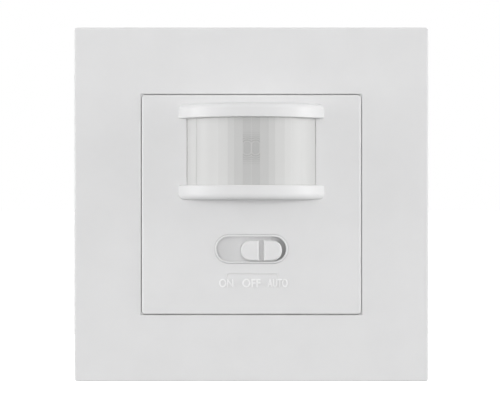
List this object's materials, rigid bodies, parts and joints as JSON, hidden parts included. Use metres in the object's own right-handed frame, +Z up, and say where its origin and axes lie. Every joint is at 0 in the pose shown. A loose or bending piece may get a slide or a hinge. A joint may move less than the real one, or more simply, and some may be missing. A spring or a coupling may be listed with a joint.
{
  "type": "motion sensor light switch",
  "caption": "Flush wall switch with a hooded motion sensor lens over a sliding mode knob in a square frame, with a rear housing, boards and screw terminals for a wall box.",
  "frame": {"origin": "centre of the support plate's back face, in the plane of the wall", "axes": "+Y into the wall, the front faces -Y, +Z up, +X to the right as seen from the front"},
  "size_m": [0.086, 0.0504, 0.086],
  "materials": {
    "cover_plastic": "satin",
    "lens_plastic": "translucent satin",
    "housing_plastic": "matt",
    "zinc_steel": "zinc plated",
    "screw_steel": "zinc plated",
    "board_laminate": "solder mask",
    "can_steel": "nickel plated",
    "filter_window": "polished",
    "sensor_resin": "clear resin",
    "black_plastic": "matt",
    "contact_brass": "plain",
    "relay_case": "satin",
    "capacitor_case": "satin",
    "capacitor_sleeve": "gloss sleeve",
    "varistor_coat": "epoxy dip",
    "resistor_coat": "lacquer",
    "terminal_plastic": "satin",
    "trimmer_case": "satin",
    "rotor_plastic": "satin"
  },
  "bodies": {
    "switch_body": {"outer_frame": "cover_plastic", "centre_plate": "cover_plastic", "fresnel_lens": "lens_plastic", "light_shroud": "housing_plastic", "support_plate": "zinc_steel", "support_screws": "screw_steel", "rear_housing": "housing_plastic", "housing_screws": "screw_steel", "sensor_board": "board_laminate", "pir_base": "can_steel", "pir_can": "can_steel", "pir_window": "filter_window", "light_sensor": "sensor_resin", "switch_base": "black_plastic", "switch_shell": "can_steel", "control_chip": "black_plastic", "board_header": "black_plastic", "power_board": "board_laminate", "relay": "relay_case", "film_capacitor": "capacitor_case", "smoothing_capacitor": "capacitor_sleeve", "varistor": "varistor_coat", "fuse_resistor": "resistor_coat", "bridge_rectifier": "black_plastic", "terminal_block": "terminal_plastic", "terminal_clamps": "contact_brass", "terminal_screws": "screw_steel", "time_trimmer": "trimmer_case", "lux_trimmer": "trimmer_case"},
    "mode_slider": {"slider_knob": "cover_plastic", "switch_lever": "black_plastic", "contact_bridge": "contact_brass"},
    "time_adjuster": {"time_rotor": "rotor_plastic"},
    "lux_adjuster": {"lux_rotor": "rotor_plastic"}
  },
  "joints": [
    {"name": "mode_slide", "type": "slide", "parent": "switch_body", "child": "mode_slider", "axis": [1, 0, 0], "range_m": [-0.0049, 0]},
    {"name": "time_adjust", "type": "hinge", "parent": "switch_body", "child": "time_adjuster", "pos_m": [-0.009, 0.0265, 0.009], "axis": [0, 1, 0], "range_deg": [-135, 135]},
    {"name": "lux_adjust", "type": "hinge", "parent": "switch_body", "child": "lux_adjuster", "pos_m": [0.009, 0.0265, 0.009], "axis": [0, 1, 0], "range_deg": [-135, 135]}
  ]
}
